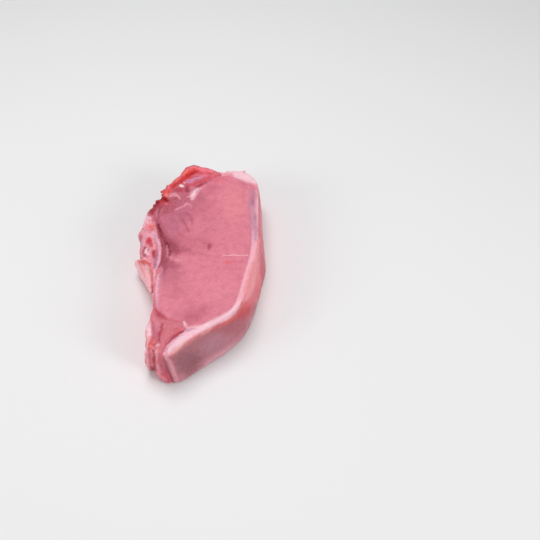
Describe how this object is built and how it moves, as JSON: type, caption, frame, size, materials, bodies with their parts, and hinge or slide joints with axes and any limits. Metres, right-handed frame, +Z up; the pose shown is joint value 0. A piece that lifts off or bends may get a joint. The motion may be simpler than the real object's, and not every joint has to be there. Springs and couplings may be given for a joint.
{
  "type": "raw veal chop",
  "caption": "Raw veal chop lying flat: one slice of loin with a pale pink eye, fat down one side, a piece of backbone, and ragged muscle at both ends.",
  "frame": {"origin": "bottom centre of the chop's box, on the face it lies on", "axes": "+Z up through the chop's thickness, +Y from the narrow tail to the wide end of the loin, +X towards the side with the fat"},
  "size_m": [0.0906, 0.178, 0.0311],
  "materials": {
    "veal_lean": "moist, fine-grained pale pink cut lean",
    "white_fat": "moist pinkish white fat, salmon at its rim",
    "dark_lean": "wet red and mauve muscle, ragged, with membranes",
    "sawn_bone": "sawn bone, lilac white rim and red marrow",
    "flank_tissue": "pale pink streaked fat and sinew",
    "tail_lean": "moist layered lean with white strips"
  },
  "bodies": {
    "root": {"loin_eye": "veal_lean", "fat_cap": "white_fat", "cap_muscle": "dark_lean", "chine_bone": "sawn_bone", "rib_flank": "flank_tissue", "tail_muscle": "tail_lean"}
  },
  "joints": []
}
